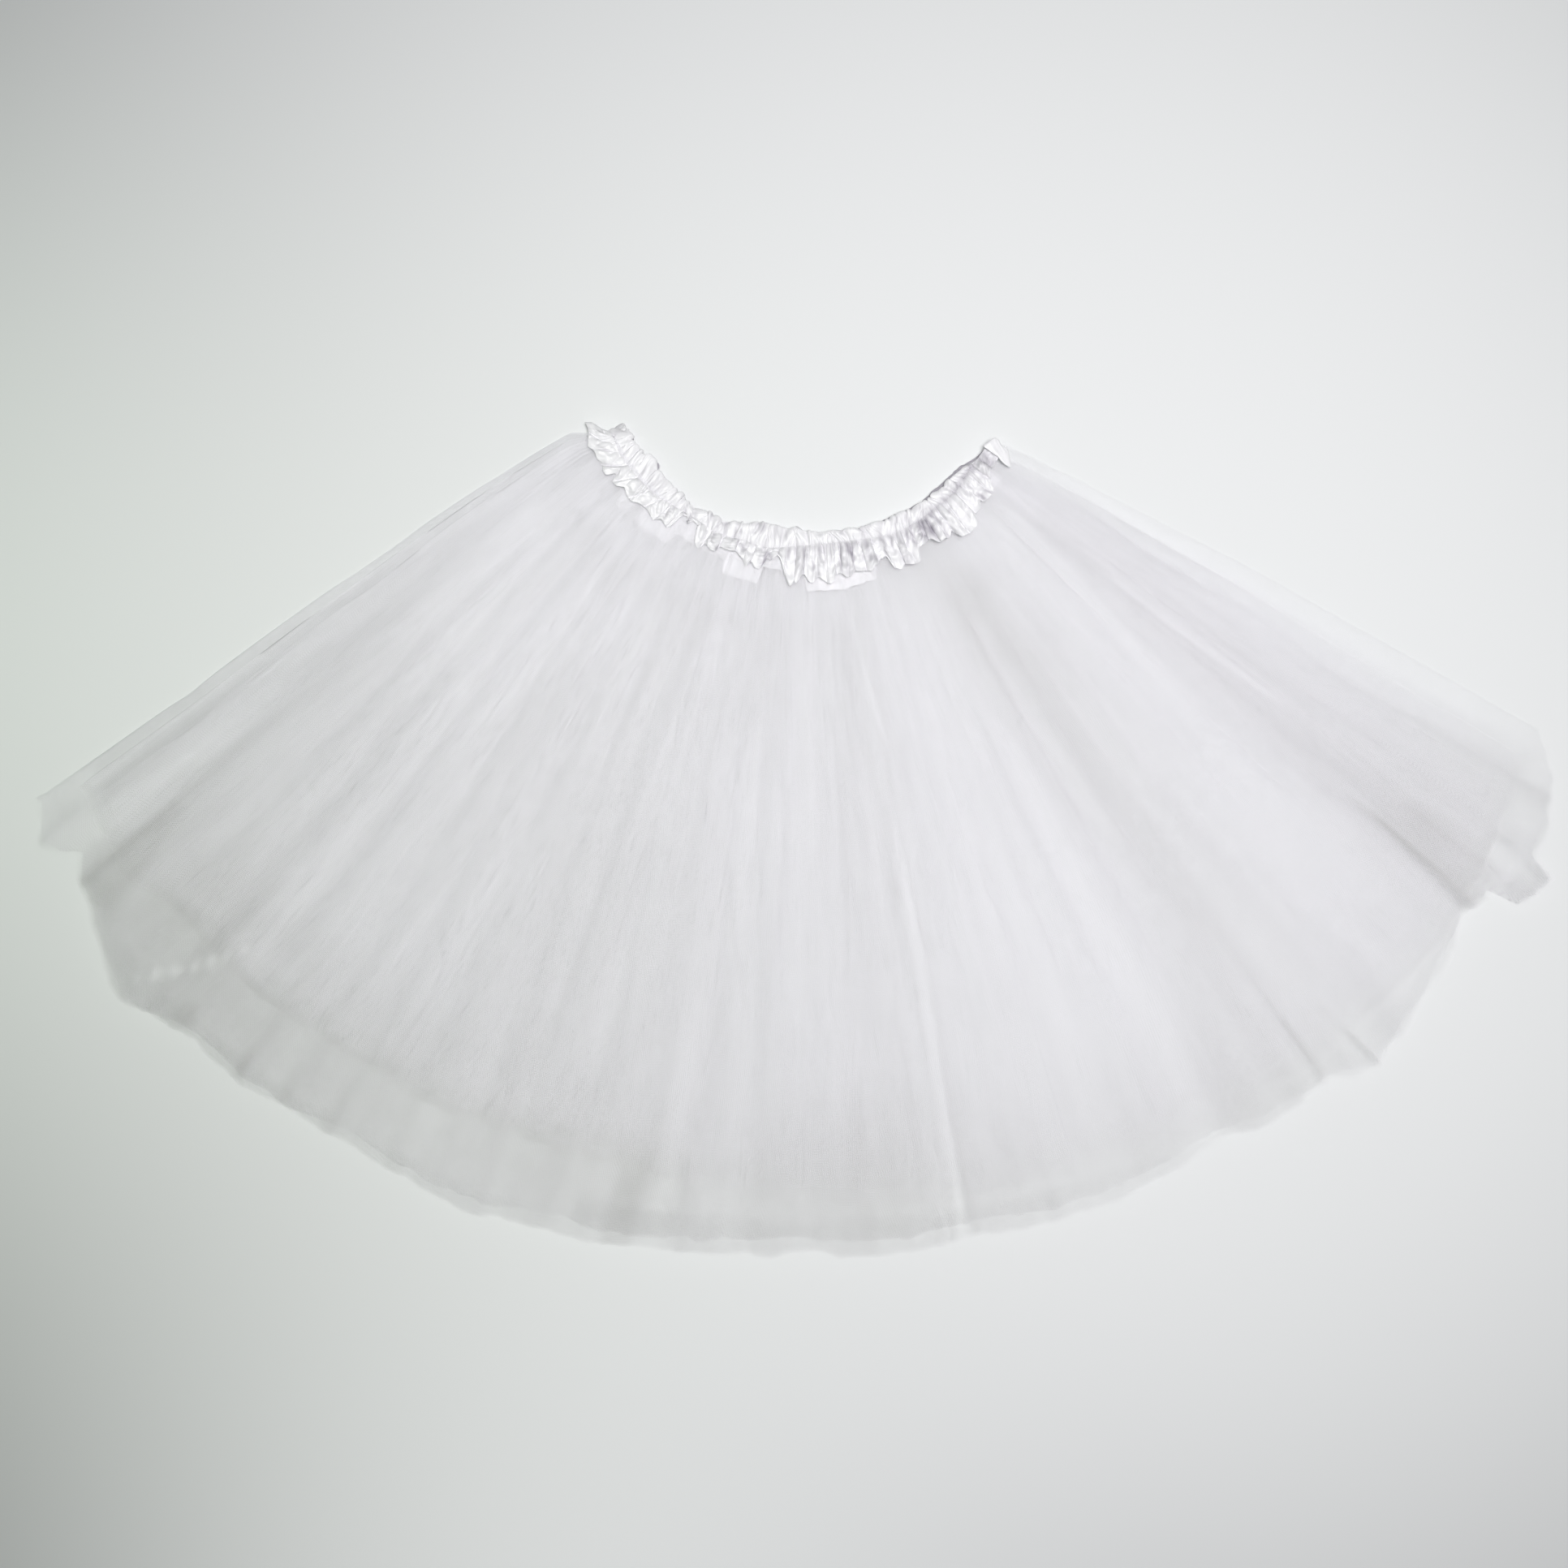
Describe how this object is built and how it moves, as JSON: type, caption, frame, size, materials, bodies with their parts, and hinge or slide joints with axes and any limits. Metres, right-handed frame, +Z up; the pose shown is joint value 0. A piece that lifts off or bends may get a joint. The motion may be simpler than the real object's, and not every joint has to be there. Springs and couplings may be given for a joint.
{
  "type": "ballet tutu skirt",
  "caption": "Layered tulle ballet tutu skirt with a gathered satin elastic waistband, laid out flat like an open fan.",
  "frame": {"origin": "on the surface that the skirt lies on, under the middle of its outline", "axes": "+X from side fold to side fold, to the right as seen from above with the waistband up; +Y from the hem to the waistband; +Z up off the surface"},
  "size_m": [0.8428, 0.4652, 0.0199],
  "materials": {
    "white_tulle": "fine soft net, slightly see-through",
    "white_satin": "glossy satin"
  },
  "bodies": {
    "root": {"outer_tulle": "white_tulle", "middle_tulle": "white_tulle", "inner_tulle": "white_tulle", "waistband_casing": "white_satin", "waistband_frill": "white_satin", "waistband_inner_flap": "white_satin"}
  },
  "joints": []
}
